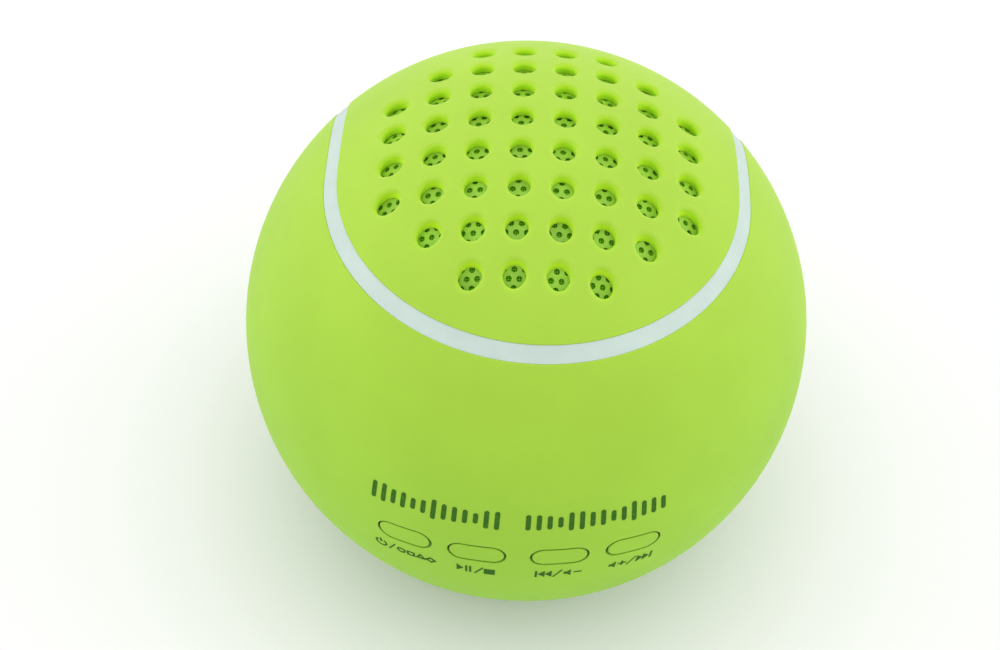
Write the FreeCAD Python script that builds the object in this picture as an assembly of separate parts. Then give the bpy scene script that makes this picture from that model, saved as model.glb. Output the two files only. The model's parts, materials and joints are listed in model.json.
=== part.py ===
"""Ball speaker in a rubber skin with an inlaid seam: every piece that comes apart on a bench.

Everything is drawn about the ball's centre, in millimetres, with +Z up and the keys facing -Y.
save() then lifts it, so the file's origin is the centre of the foot's underside.
"""
import FreeCAD, Part
import math
import os

V = FreeCAD.Vector
X_AXIS = V(1, 0, 0)
Y_AXIS = V(0, 1, 0)
Z_AXIS = V(0, 0, 1)

# Ball and skin
BALL_R = 40.0            # outside of the skin
SKIN_T = 2.0             # skin thickness
SKIN_IN_R = BALL_R - SKIN_T
SKIN_FLOOR_Z = -34.6     # flat cut under the skin
LIP_TOP_Z = -33.0        # upper side of the skin's turned-in lip
LIP_HOLE_R = 14.5        # hole in the lip

# Sound holes: a square grid without its corners
HOLE_PITCH = 5.54
HOLE_R = 1.5
HOLE_RIM = 0.6           # rounding of each hole's mouth
GRID_HALF = 3.5          # outermost row, in pitches
CORNER_SUM = 5.5         # holes whose two grid places add up to more are left out
THIN_EDGE_R = 24.8       # the skin is thinner over the grille, inside this distance from the axis
THIN_IN_R = 38.55

# Seam: four half circles on the ball, two about Z at the front and two about X at the back
SEAM_POLAR = 44.0        # angle from the Z axis to the seam's middle line
SEAM_HALF_W = 1.19
SEAM_FLOOR_R = 38.8      # groove floor, measured from the ball's centre
SEAM_TOP_R = 39.86       # inlay's outer face
SEAM_ROUND = 0.2         # rounded shoulders of the groove
SEAM_KINK = 0.008        # keeps the shoulder from meeting the ball at a perfect tangent

# Hard core under the skin
CORE_R = 37.95
CORE_T = 2.05
CORE_IN_R = CORE_R - CORE_T
SPLIT_Z = 9.0            # plane between the two core shells
FLOOR_TOP_Z = -31.0      # inside face of the lower core's floor
TRAY_Z = (-16.6, -15.0)  # wall across the lower core that carries battery and board
GASKET_R = (35.3, 36.3)
GASKET_T = 0.8
CORE_SCREW_XY = 22.0     # screws join the shells at (+-22, +-22)
CORE_SCREW_R = 1.1
CORE_BOSS_R = 4.0
CORE_HEAD_R = 2.2
CORE_HEAD_Z = 1.0        # face that the screw heads pull on
CORE_HEAD_H = 1.8
CORE_TIP_Z = 15.0        # upper end of the screws
CORE_BOSS_TOP_Z = 17.5
LEAD_HOLE = (22.0, 4.0)  # holes in the tray for leads: distance from the middle, radius

# Grille and dust cloth under the sound holes
MOUTH_R = 23.0           # opening in the upper core
PLATE_EDGE_R = 24.5      # the grille lies on the core, in the thin part of the skin
CLOTH = (37.95, 38.15)   # inner and outer radius of the domed cloth
GRILLE = (38.2, 38.5)
PERF_R = 0.37
PERF_PITCH = 1.32

# Keys: flush caps around the front, pressed along +Y; their row is a shallow arc
KEY_NAMES = ("mode", "play", "previous", "next")
KEY_LON = (-22.1, -7.6, 8.3, 22.9)
KEY_LIFT = (-0.6, 0.0, 0.3, 0.2)
KEY_TILT = (7.8, 3.9, 0.0, -5.0)    # right end up
KEYS = tuple(zip(KEY_LON, KEY_LIFT, KEY_TILT))
KEY_HALF_LON = 5.55
KEY_HALF_H = 1.8
KEY_GAP = 0.14           # cap and window each stand this far from the drawn outline
KEY_EDGE = 0.2           # rounding of the cap's edge
KEY_FLANGE = 0.6
KEY_FLANGE_T = 0.8
KEY_TRAVEL = 0.45
POST_R = 1.3
POST_CLEAR = 0.2
KEY_BOSS_BACK_Y = -29.6
KEY_BOSS_HALF = (21.0, 5.2)
KEY_BOARD_Y = (-25.5, -24.3)
KEY_BOARD_HALF = (18.0, 5.0)
SWITCH_HALF = 2.25
SWITCH_H = 2.0
STEM_R = 0.8
STEM_TOP_Y = -28.1
STEM_FOOT_Y = -26.95
KEY_POST_X = 10.25       # posts that carry the key board
KEY_POST_R = 1.8
KEY_SCREW_R = 0.8
KEY_SCREW_TIP_Y = -28.3

# Loudspeaker, facing up under the grille (radius, height)
SHELF_Z = (25.6, 27.6)
SHELF_R = 20.2
FLANGE_Z = (24.0, 24.8)
FLANGE_R = 22.0
EAR_R = 2.2
EAR_RING_R = 22.6
EAR_ANGLES = (45, 135, 225, 315)
DRIVER_SCREW_R = 0.8
DRIVER_TIP_Z = 28.0
PLATE_Z = (11.4, 13.4)   # top plate
MAGNET_BOTTOM_Z = 6.4
YOKE_BOTTOM_Z = 4.4
POLE_R = 6.0
COIL_R = (6.5, 6.8)
TAG_Y = 2.4              # solder tags, each side of the middle

# Main board and what stands on it
BOARD_Z = (-3.2, -1.6)
BOARD_R = 33.0
BOARD_Y = (-21.5, 30.4)
BOARD_POST = (25.5, 8.0)
BOARD_POST_R = 2.2
BOARD_SCREW_R = 1.0
BOARD_SCREW_TIP_Z = -8.0
BATTERY_HALF = (20.0, 15.0)
BATTERY_Z = (-14.0, -8.0)
PAD_HALF = (18.0, 13.0)
WIRE_R = 0.5

# Port bay in the back, closed by a flap hinged along its lower edge
BAY_FLOOR_Y = 32.0
BAY_X = 11.0
BAY_Z = (-5.4, 4.4)
TUB_X = 13.4
TUB_Y = 30.6
TUB_Z = (-11.4, 6.4)
HINGE_Y = 37.4
HINGE_Z = -8.0
HINGE_R = 1.75
HINGE_X = 5.0            # half length of the flap's barrel
PIN_R = 0.4
PIN_CLEAR = 0.05
EAR_X = (5.2, 6.6)       # bearing blocks each side of the barrel
EAR_TOP_R = 39.4
EAR_FOOT_Y = 34.0
WINDOW_X = 12.2
WINDOW_Z = (-6.1, 5.45)
WINDOW_TAB_Z = -10.3
WINDOW_ROUND = 2.5
FLAP_GAP = 0.2
FLAP_RELIEF_R = 2.65     # beside the tab, the flap's lower edge keeps this far from the hinge axis
RIM_OUTSIDE = (10.75, -5.15, 4.0)   # sealing rim: half width, lower and upper edge
RIM_INSIDE = (9.6, -4.0, 2.95)
RIM_END_R = 36.6         # how deep the rim reaches into the bay
NOTCH_R = 4.0            # fingernail notch over the flap's upper edge
NOTCH_YZ = (42.3, 6.2)
USB_X = -6.5
USB_SIZE = (7.6, 2.7)    # outside width and height of the charging socket
JACK_X = 6.0
JACK_NOSE_R = 2.45
JACK_NOSE_Z = 2.5        # above the main board
CARD_SIZE = (14.0, 1.8)  # outside width and height of the card socket

# Base
BASE_FLANGE_R = 17.5
BASE_FLANGE_Z = -35.2
FOOT_R = (11.0, 16.5)
FOOT_Z = -36.0
BASE_SCREW_RING = 7.0
BASE_SCREW_ANGLES = (90, 210, 330)
BASE_HEAD_Z = -34.0      # face that the base screws pull on
BASE_SCREW_R = 1.0
BASE_TIP_Z = -27.0
BASE_POST_R = 2.8
BASE_POST_TOP_Z = -25.0
BALL_CENTRE_Z = -FOOT_Z  # height of the ball's centre above the surface it stands on


# ---------------------------------------------------------------- helpers

def save(name, shape):
    """Lifts a shape onto its foot and writes it as one sub-part."""
    lifted = shape.copy()
    lifted.translate(V(0, 0, BALL_CENTRE_Z))
    kinds = [s.isValid() and s.Volume > 0 for s in lifted.Solids]
    print(f"{name:22s} solids {len(kinds):3d}  volume {lifted.Volume:10.2f}  ok {all(kinds) and bool(kinds)}")
    Part.makeCompound(lifted.Solids).exportStep(f"parts/{name}.step")


def fused(first, *others):
    return first.fuse(list(others)).removeSplitter()


def cyl(radius, low, high, x=0.0, y=0.0):
    """Upright cylinder between two heights."""
    return Part.makeCylinder(radius, high - low, V(x, y, low))


def cyl_y(radius, low, high, x=0.0, z=0.0):
    """Cylinder along Y between two depths."""
    return Part.makeCylinder(radius, high - low, V(x, low, z), Y_AXIS)


def cyl_x(radius, low, high, y=0.0, z=0.0):
    return Part.makeCylinder(radius, high - low, V(low, y, z), X_AXIS)


def block(x, y, z):
    """Box from three (low, high) pairs."""
    return Part.makeBox(x[1] - x[0], y[1] - y[0], z[1] - z[0], V(x[0], y[0], z[0]))


def ring(inner, outer, low, high):
    return cyl(outer, low, high).cut(cyl(inner, low - 1, high + 1))


def ball(radius):
    return Part.makeSphere(radius)


def on_ball(radius, r):
    """Height of a ball's surface at distance r from its axis."""
    return math.sqrt(radius * radius - r * r)


def outline(start, *steps):
    """Closed face in the XZ plane. A step is a point, or (through, end) for an arc."""
    edges = []
    here = V(start[0], 0, start[1])
    for step in steps + (start,):
        if isinstance(step[0], tuple):
            mid, end = (V(p[0], 0, p[1]) for p in step)
            edges.append(Part.Arc(here, mid, end).toShape())
        else:
            end = V(step[0], 0, step[1])
            if here.distanceToPoint(end) > 1e-7:
                edges.append(Part.LineSegment(here, end).toShape())
        here = end
    return Part.Face(Part.Wire(edges))


def turned(face, axis=Z_AXIS, angle=360.0):
    return face.revolve(V(0, 0, 0), axis, angle)


def arc_on(radius, r_from, r_to):
    """Arc step on a ball's upper half, from one distance off the axis to another."""
    r_mid = radius * math.sin((math.asin(r_from / radius) + math.asin(r_to / radius)) / 2)
    return (r_mid, on_ball(radius, r_mid)), (r_to, on_ball(radius, r_to))


def dome(inner, outer, edge_r):
    """Domed disc between two ball radii, cut off upright at edge_r."""
    shell = ball(outer).cut(ball(inner))
    return shell.common(cyl(edge_r, 0, outer + 1))


def stadium(x_low, x_high, half_h, y_low, y_high):
    """Lozenge with round ends, drawn in XZ and extruded along Y."""
    middle = block((x_low + half_h, x_high - half_h), (y_low, y_high), (-half_h, half_h))
    ends = [cyl_y(half_h, y_low, y_high, x) for x in (x_low + half_h, x_high - half_h)]
    return fused(middle, *ends)


def rounded_block(x, y, z, radius):
    """Box whose four edges along Y are rounded."""
    solid = block(x, y, z)
    edges = [e for e in solid.Edges if abs(e.tangentAt(e.FirstParameter).y) > 0.99]
    return solid.makeFillet(radius, edges)


def tube(points, radius, bend):
    """Round wire along straight runs joined by tangent arcs."""
    points = [V(*p) for p in points]
    edges = []
    here = points[0]
    for before, corner, after in zip(points, points[1:], points[2:]):
        into = (corner - before).normalize()
        out = (after - corner).normalize()
        turn = into.getAngle(out)
        reach = bend * math.tan(turn / 2)
        start = corner - into * reach
        end = corner + out * reach
        towards = (out - into).normalize()
        middle = corner + towards * (bend / math.cos(turn / 2) - bend)
        edges.append(Part.LineSegment(here, start).toShape())
        edges.append(Part.Arc(start, middle, end).toShape())
        here = end
    edges.append(Part.LineSegment(here, points[-1]).toShape())
    first = (points[1] - points[0]).normalize()
    section = Part.Wire([Part.Circle(points[0], first, radius).toShape()])
    return Part.Wire(edges).makePipeShell([section], True, True)


def four(x, y):
    """The four mirror places of a point."""
    return [(sx * x, sy * y) for sx in (1, -1) for sy in (1, -1)]


def slab(x, y, width, depth, low, high):
    """Box centred on (x, y) between two heights."""
    return block((x - width / 2, x + width / 2), (y - depth / 2, y + depth / 2), (low, high))


def polar(radius, degrees):
    return radius * math.cos(math.radians(degrees)), radius * math.sin(math.radians(degrees))


def around(radius, angles):
    """Places at these angles round the Z axis."""
    return [polar(radius, angle) for angle in angles]


# ---------------------------------------------------------------- skin, seam and keys

def sound_hole_places():
    steps = [i - GRID_HALF for i in range(int(2 * GRID_HALF) + 1)]
    return [(i * HOLE_PITCH, j * HOLE_PITCH) for i in steps for j in steps if abs(i) + abs(j) < CORNER_SUM]


def seam_section(half_w, low_r, high_r, shoulder):
    """Seam cross-section in the XZ plane at +X, where the front and back half circles meet."""
    angle = math.radians(SEAM_POLAR)
    out = (math.sin(angle), math.cos(angle))
    along = (math.cos(angle), -math.sin(angle))

    def at(t, h):
        return (t * along[0] + h * out[0], t * along[1] + h * out[1])

    if not shoulder:
        return outline(at(-half_w, low_r), at(half_w, low_r), at(half_w, high_r), at(-half_w, high_r))
    centre_t = half_w + shoulder
    centre_h = math.sqrt((BALL_R - shoulder) ** 2 - centre_t ** 2) + SEAM_KINK
    bend = shoulder * math.sqrt(0.5)
    top = centre_h + shoulder
    return outline(at(-half_w, low_r), at(half_w, low_r), at(half_w, centre_h),
                   (at(centre_t - bend, centre_h + bend), at(centre_t, top)),
                   at(centre_t, high_r), at(-centre_t, high_r), at(-centre_t, top),
                   (at(-centre_t + bend, centre_h + bend), at(-half_w, centre_h)))


def seam_loop(section):
    """Sweeps the section round the four half circles of a tennis-ball seam."""
    mirrored = section.mirror(V(0, 0, 0), Z_AXIS)
    upper_front = turned(section, Z_AXIS, -180)
    lower_front = turned(mirrored, Z_AXIS, -180)
    right_back = turned(section, X_AXIS, -180)
    left_back = right_back.mirror(V(0, 0, 0), X_AXIS)
    return upper_front, right_back, lower_front, left_back


def key_span(lon):
    """Left and right ends of a key's outline on the ball."""
    return [BALL_R * math.sin(math.radians(lon + side * KEY_HALF_LON)) for side in (-1, 1)]


def key_flange_y(lon):
    """Front face of a key's flange: just behind the skin at the key's outer end."""
    reach = max(abs(x) for x in key_span(lon)) + KEY_FLANGE
    return -on_ball(SKIN_IN_R, reach) + 0.2


def key_outline(key, grow, y_low, y_high):
    """Outline of a key, given as (longitude, lift, tilt), grown and extruded along Y."""
    lon, lift, tilt = key
    low, high = key_span(lon)
    prism = stadium(low - grow, high + grow, KEY_HALF_H + grow, y_low, y_high)
    prism.rotate(V(key_post_x(lon), 0, 0), Y_AXIS, -tilt)
    prism.translate(V(0, 0, lift))
    return prism


def key_post_x(lon):
    return sum(key_span(lon)) / 2


def key_rod(key, radius, y_low, y_high):
    """Cylinder along Y through a key's middle."""
    lon, lift, _ = key
    return cyl_y(radius, y_low, y_high, key_post_x(lon), lift)


def window_prism(y_low, y_high):
    """Window for the flap: wide, with a narrower tab down to the hinge."""
    plate = rounded_block((-WINDOW_X, WINDOW_X), (y_low, y_high), WINDOW_Z, WINDOW_ROUND)
    tab = block((-HINGE_X - FLAP_GAP, HINGE_X + FLAP_GAP), (y_low, y_high), (WINDOW_TAB_Z, 0))
    return plate.fuse(tab)


def hinge_ears():
    """Bearing blocks that carry the flap's pin, hidden under the skin."""
    blocks = [block(span, (EAR_FOOT_Y, BALL_R), (HINGE_Z - 1.2, HINGE_Z + 1.1))
              for span in (EAR_X, (-EAR_X[1], -EAR_X[0]))]
    return Part.makeCompound([b.common(ball(EAR_TOP_R)) for b in blocks])


def silicone_skin():
    rim_r = on_ball(BALL_R, SKIN_FLOOR_Z)
    inner_rim_r = on_ball(SKIN_IN_R, LIP_TOP_Z)
    skin = turned(outline((0, BALL_R), ((BALL_R, 0), (rim_r, SKIN_FLOOR_Z)), (LIP_HOLE_R, SKIN_FLOOR_Z),
                          (LIP_HOLE_R, LIP_TOP_Z), (inner_rim_r, LIP_TOP_Z),
                          ((SKIN_IN_R, 0), (THIN_EDGE_R, on_ball(SKIN_IN_R, THIN_EDGE_R))),
                          (THIN_EDGE_R, on_ball(THIN_IN_R, THIN_EDGE_R)),
                          arc_on(THIN_IN_R, THIN_EDGE_R, 0)))
    holes = [cyl(HOLE_R, 20, BALL_R + 5, x, y) for x, y in sound_hole_places()]
    skin = skin.cut(holes)
    rims = []
    for edge in skin.Edges:
        box = edge.BoundBox
        is_hole_edge = 2 * HOLE_R - 0.1 < box.XLength < 2 * HOLE_R + 0.1
        if is_hole_edge and edge.CenterOfMass.Length > (BALL_R + THIN_IN_R) / 2:
            rims.append(edge)
    skin = skin.makeFillet(HOLE_RIM, rims)
    groove = seam_section(SEAM_HALF_W, SEAM_FLOOR_R, BALL_R + 1, SEAM_ROUND)
    skin = skin.cut(list(seam_loop(groove)))
    windows = [key_outline(key, KEY_GAP, -BALL_R - 1, -20) for key in KEYS]
    nail_notch = Part.makeSphere(NOTCH_R, V(0, *NOTCH_YZ))
    ears = hinge_ears().Solids
    return skin.cut(windows + [window_prism(25, BALL_R + 1), nail_notch] + ears)


def seam_inlay():
    loop = seam_loop(seam_section(SEAM_HALF_W, SEAM_FLOOR_R, SEAM_TOP_R, 0))
    return fused(*loop)


def key_cap(key):
    """Rubber key: flush cap, retaining flange and the post that reaches the switch."""
    front = key_flange_y(key[0])
    cap = key_outline(key, -KEY_GAP, -BALL_R - 1, front).common(ball(BALL_R))
    top_edges = [e for e in cap.Edges if e.CenterOfMass.y < front - 0.3 and e.BoundBox.YLength < 3
                 and abs(e.tangentAt(e.FirstParameter).y) < 0.9]
    cap = cap.makeFillet(KEY_EDGE, top_edges)
    flange = key_outline(key, KEY_FLANGE, front, front + KEY_FLANGE_T)
    post = key_rod(key, POST_R, front, STEM_TOP_Y)
    return fused(cap, flange, post)


# ---------------------------------------------------------------- core, grille and sealing

def perforated_grille():
    plate = dome(*GRILLE, PLATE_EDGE_R)
    cluster = [(0.0, 0.0)] + [polar(PERF_PITCH, 60 * k) for k in range(6)]
    holes = [cyl(PERF_R, 20, BALL_R, x + dx, y + dy)
             for x, y in sound_hole_places() for dx, dy in cluster]
    return plate.cut(holes)


def upper_core():
    top_r = on_ball(CORE_R, SPLIT_Z)
    inner_r = on_ball(CORE_IN_R, SPLIT_Z)
    shelf_r = on_ball(CORE_IN_R, SHELF_Z[0])
    shell = turned(outline((top_r, SPLIT_Z), arc_on(CORE_R, top_r, MOUTH_R),
                           (MOUTH_R, SHELF_Z[1]), (SHELF_R, SHELF_Z[1]), (SHELF_R, SHELF_Z[0]),
                           (shelf_r, SHELF_Z[0]), arc_on(CORE_IN_R, shelf_r, inner_r)))
    inside = ball(CORE_R - 0.6)
    bosses = [cyl(CORE_BOSS_R, SPLIT_Z, CORE_BOSS_TOP_Z, x, y).common(inside)
              for x, y in four(CORE_SCREW_XY, CORE_SCREW_XY)]
    shell = fused(shell, *bosses)
    pilots = [cyl(CORE_SCREW_R, SPLIT_Z - 1, CORE_TIP_Z + 0.5, x, y)
              for x, y in four(CORE_SCREW_XY, CORE_SCREW_XY)]
    pilot_top = on_ball(CORE_R, MOUTH_R) - 1.0
    pilots += [cyl(DRIVER_SCREW_R, 20, pilot_top, x, y) for x, y in around(EAR_RING_R, EAR_ANGLES)]
    return shell.cut(pilots)


def lower_core():
    top_r = on_ball(CORE_R, SPLIT_Z)
    inner_r = on_ball(CORE_IN_R, SPLIT_Z)
    foot_r = on_ball(CORE_R, LIP_TOP_Z)
    floor_r = on_ball(CORE_IN_R, FLOOR_TOP_Z)
    shell = turned(outline((top_r, SPLIT_Z), ((CORE_R, 0), (foot_r, LIP_TOP_Z)), (0, LIP_TOP_Z),
                           (0, FLOOR_TOP_Z), (floor_r, FLOOR_TOP_Z), ((CORE_IN_R, 0), (inner_r, SPLIT_Z))))
    inside = ball(CORE_R - 0.6)
    tray = cyl(CORE_R, *TRAY_Z).common(inside)
    bosses = [cyl(CORE_BOSS_R, -30, SPLIT_Z, x, y).common(inside)
              for x, y in four(CORE_SCREW_XY, CORE_SCREW_XY)]
    posts = [cyl(BOARD_POST_R, TRAY_Z[1], BOARD_Z[0], x, y) for x, y in four(*BOARD_POST)]
    base_posts = [cyl(BASE_POST_R, FLOOR_TOP_Z, BASE_POST_TOP_Z, x, y)
                  for x, y in around(BASE_SCREW_RING, BASE_SCREW_ANGLES)]
    key_boss = block((-KEY_BOSS_HALF[0], KEY_BOSS_HALF[0]), (-BALL_R, KEY_BOSS_BACK_Y),
                     (-KEY_BOSS_HALF[1], KEY_BOSS_HALF[1])).common(inside)
    key_posts = [cyl_y(KEY_POST_R, KEY_BOSS_BACK_Y, KEY_BOARD_Y[0], x) for x in (-KEY_POST_X, KEY_POST_X)]
    shell = fused(shell, tray, key_boss, *(bosses + posts + base_posts + key_posts))
    cuts = [ring(*GASKET_R, SPLIT_Z - GASKET_T, SPLIT_Z + 1)]
    for x, y in four(CORE_SCREW_XY, CORE_SCREW_XY):
        cuts.append(cyl(CORE_HEAD_R + 0.3, -40, CORE_HEAD_Z, x, y))
        cuts.append(cyl(CORE_SCREW_R + 0.15, -40, SPLIT_Z + 1, x, y))
    cuts += [cyl(BOARD_SCREW_R, BOARD_SCREW_TIP_Z - 1, 0, x, y) for x, y in four(*BOARD_POST)]
    cuts += [cyl(BASE_SCREW_R, -40, BASE_TIP_Z + 0.5, x, y)
             for x, y in around(BASE_SCREW_RING, BASE_SCREW_ANGLES)]
    cuts += [cyl(LEAD_HOLE[1], -20, -10, 0, y) for y in (-LEAD_HOLE[0], LEAD_HOLE[0])]
    for key in KEYS:
        pocket_floor = key_flange_y(key[0]) + KEY_FLANGE_T + KEY_TRAVEL + 0.15
        cuts.append(key_outline(key, KEY_FLANGE + 0.3, -BALL_R - 1, pocket_floor))
        cuts.append(key_rod(key, POST_R + POST_CLEAR, -BALL_R, -20))
    cuts += [cyl_y(KEY_SCREW_R, KEY_SCREW_TIP_Y - 0.2, -20, x) for x in (-KEY_POST_X, KEY_POST_X)]
    cuts.append(block((-TUB_X, TUB_X), (TUB_Y - 3, BALL_R), TUB_Z))
    return shell.cut(cuts)


def core_gasket():
    return ring(*GASKET_R, SPLIT_Z - GASKET_T, SPLIT_Z)


def screw_up(x, y, seat_z, tip_z, shaft_r, head_r, head_h):
    """Pan-head screw driven upwards, with a cross recess in its head."""
    head = cyl(head_r, seat_z - head_h, seat_z, x, y)
    solid = head.fuse(cyl(shaft_r, seat_z, tip_z, x, y))
    return recessed(solid, x, y, seat_z - head_h, head_r)


def screw_down(x, y, seat_z, tip_z, shaft_r, head_r, head_h):
    """Pan-head screw driven downwards."""
    head = cyl(head_r, seat_z, seat_z + head_h, x, y)
    solid = head.fuse(cyl(shaft_r, tip_z, seat_z, x, y))
    return recessed(solid, x, y, seat_z + head_h, head_r)


def recessed(solid, x, y, face_z, head_r):
    arm, half, depth = head_r * 0.55, head_r * 0.13, head_r * 0.35
    for bar in (block((-arm, arm), (-half, half), (-depth, depth)),
                block((-half, half), (-arm, arm), (-depth, depth))):
        bar.translate(V(x, y, face_z))
        solid = solid.cut(bar)
    return solid


def core_screws():
    return Part.makeCompound([screw_up(x, y, CORE_HEAD_Z, CORE_TIP_Z, CORE_SCREW_R, CORE_HEAD_R, CORE_HEAD_H)
                              for x, y in four(CORE_SCREW_XY, CORE_SCREW_XY)])


# ---------------------------------------------------------------- loudspeaker

def driver_screw_holes():
    return [cyl(DRIVER_SCREW_R + 0.1, 20, 30, x, y) for x, y in around(EAR_RING_R, EAR_ANGLES)]


def driver_frame():
    """Pressed basket: flange with four ears, vented cone wall and a bottom ring with a tag strip tab."""
    basket = turned(outline((17.0, FLANGE_Z[1]), (FLANGE_R, FLANGE_Z[1]), (FLANGE_R, FLANGE_Z[0]),
                            (17.7, FLANGE_Z[0]), (13.1, 15.5), (12.6, 14.2), (12.4, PLATE_Z[1]),
                            (8.6, PLATE_Z[1]), (8.6, 14.2), (11.0, 14.2), (11.0, 15.9), (12.5, 15.9)))
    vents = []
    for angle in (0, 90, 180, 270):
        slot = block((12.8, 20.0), (-4.5, 4.5), (17.2, 22.6))
        slot.rotate(V(0, 0, 0), Z_AXIS, angle)
        vents.append(slot)
    basket = basket.cut(vents)
    ears = [cyl(EAR_R, *FLANGE_Z, x, y) for x, y in around(EAR_RING_R, EAR_ANGLES)]
    tab = block((11.5, 15.6), (-4.2, 4.2), (PLATE_Z[1], 14.2))
    basket = fused(basket, tab, *ears)
    return basket.cut(driver_screw_holes())


def driver_gasket():
    seal = ring(SHELF_R, FLANGE_R, FLANGE_Z[1], SHELF_Z[0])
    ears = [cyl(EAR_R, FLANGE_Z[1], SHELF_Z[0], x, y) for x, y in around(EAR_RING_R, EAR_ANGLES)]
    return fused(seal, *ears).cut(driver_screw_holes())


def driver_screws():
    return Part.makeCompound([screw_up(x, y, FLANGE_Z[0], DRIVER_TIP_Z, DRIVER_SCREW_R, 1.5, 1.1)
                              for x, y in around(EAR_RING_R, EAR_ANGLES)])


def driver_yoke():
    plate = cyl(12.0, YOKE_BOTTOM_Z, MAGNET_BOTTOM_Z)
    return fused(plate, cyl(POLE_R, MAGNET_BOTTOM_Z, PLATE_Z[1]))


def driver_terminals():
    """Tag strip under the basket's tab, with two solder tags."""
    strip = block((12.8, 15.4), (-3.8, 3.8), (12.2, PLATE_Z[1]))
    tags = [slab(16.0, y, 1.2, 1.4, 12.5, 12.8) for y in (-TAG_Y, TAG_Y)]
    return fused(strip, *tags)


def voice_coil():
    former = ring(*COIL_R, 10.0, 18.3)
    winding = ring(COIL_R[1], 7.1, 10.2, 13.2)
    return fused(former, winding)


def driver_cone():
    return turned(outline((COIL_R[1], 17.9), (7.2, 17.9), (14.9, 24.1), (14.9, 24.5), (14.6, 24.5),
                          (7.1, 18.5), (COIL_R[1], 18.5)))


def dust_cap():
    """Domed cap glued on the cone's throat."""
    outer, sheet, edge_r = 14.5, 0.35, 7.8
    centre = V(0, 0, PLATE_Z[1] - 6.1)
    crown = Part.makeSphere(outer, centre).cut(Part.makeSphere(outer - sheet, centre))
    return crown.common(cyl(edge_r, PLATE_Z[1], 30))


def cone_surround():
    """Rubber half roll between the cone's edge and the flange."""
    centre, roll, sheet = 16.6, 1.5, 0.3
    return turned(outline((14.2, 24.8), (14.2, 24.5), (centre - roll, 24.5), (centre - roll, 24.8),
                          ((centre, 24.8 + roll), (centre + roll, 24.8)), (19.9, 24.8), (19.9, 25.1),
                          (centre + roll + sheet, 25.1),
                          ((centre, 24.8 + roll + sheet), (centre - roll - sheet, 24.8))))


def spider():
    """Corrugated centring disc: arcs up and down between the coil and the basket's ledge."""
    sheet, low, pitch = 0.3, 15.9, 1.2
    inner = COIL_R[1]
    count = 3
    start = inner + 0.35
    up, down = [], []
    for k in range(count):
        a, b = start + k * pitch, start + (k + 1) * pitch
        bulge = 0.35 if k % 2 == 0 else -0.35
        up.append((((a + b) / 2, low + sheet + bulge), (b, low + sheet)))
        down.append((((a + b) / 2, low + bulge), (a, low)))
    end = start + count * pitch
    return turned(outline((inner, low + sheet), (start, low + sheet), *up, (12.3, low + sheet), (12.3, low),
                          (end, low), *reversed(down), (inner, low)))


# ---------------------------------------------------------------- electronics

def main_board():
    plate = cyl(BOARD_R, *BOARD_Z).common(block((-40, 40), BOARD_Y, (-10, 10)))
    cuts = [cyl(CORE_BOSS_R + 0.4, -10, 10, x, y) for x, y in four(CORE_SCREW_XY, CORE_SCREW_XY)]
    cuts += [cyl(BOARD_SCREW_R + 0.1, -10, 10, x, y) for x, y in four(*BOARD_POST)]
    return plate.cut(cuts)


def board_screws():
    return Part.makeCompound([screw_down(x, y, BOARD_Z[1], BOARD_SCREW_TIP_Z, BOARD_SCREW_R, 1.9, 1.2)
                              for x, y in four(*BOARD_POST)])


def radio_module():
    """Shield can on a small carrier."""
    x, top, carrier_t, can_h = -15.0, BOARD_Z[1], 0.8, 1.6
    carrier = slab(x, 0, 14.0, 12.0, top, top + carrier_t)
    can = slab(x - 0.7, 0, 11.0, 10.4, top + carrier_t, top + carrier_t + can_h)
    return fused(carrier, can)


def amplifier_chip():
    """Flat package with a row of legs on each long side."""
    x, y, top, leg_pitch = 8.5, -10.0, BOARD_Z[1], 0.9
    body = slab(x, y, 5.0, 4.0, top + 0.15, top + 1.65)
    legs = [slab(x + leg_pitch * k, y, 0.4, 5.8, top, top + 0.5) for k in range(-2, 3)]
    return fused(body, *legs)


def capacitors():
    top = BOARD_Z[1]
    return Part.makeCompound([cyl(2.6, top, top + 5.4, x, 15.0) for x in (-14.0, 14.0)])


def usb_socket():
    """Metal shell with its mouth in the bay's floor, and the tongue inside."""
    z = BOARD_Z[1]
    half, height = USB_SIZE[0] / 2, USB_SIZE[1]
    shell = rounded_block((USB_X - half, USB_X + half), (26.6, BAY_FLOOR_Y), (z, z + height), 0.7)
    hollow = rounded_block((USB_X - half + 0.3, USB_X + half - 0.3), (27.4, BAY_FLOOR_Y + 1),
                           (z + 0.3, z + height - 0.3), 0.5)
    tongue = block((USB_X - 2.4, USB_X + 2.4), (27.0, BAY_FLOOR_Y - 0.8), (z + 0.95, z + 1.55))
    return fused(shell.cut(hollow), tongue)


def audio_jack():
    z = BOARD_Z[1]
    body = block((JACK_X - 3.0, JACK_X + 3.0), (19.0, 30.4), (z, z + 5.0))
    nose = cyl_y(JACK_NOSE_R, 30.4, BAY_FLOOR_Y, JACK_X, z + JACK_NOSE_Z)
    return fused(body, nose).cut(cyl_y(1.8, 20.0, BAY_FLOOR_Y + 1, JACK_X, z + JACK_NOSE_Z))


def card_socket():
    z = BOARD_Z[0]
    half, height = CARD_SIZE[0] / 2, CARD_SIZE[1]
    shell = block((-half, half), (18.0, BAY_FLOOR_Y), (z - height, z))
    return shell.cut(block((1.2 - half, half - 1.2), (19.0, BAY_FLOOR_Y + 1), (z - height + 0.35, z - 0.35)))


def key_board():
    half_x, half_z = KEY_BOARD_HALF
    plate = block((-half_x, half_x), KEY_BOARD_Y, (-half_z, half_z))
    return plate.cut([cyl_y(KEY_SCREW_R + 0.1, -30, -20, x) for x in (-KEY_POST_X, KEY_POST_X)])


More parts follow.
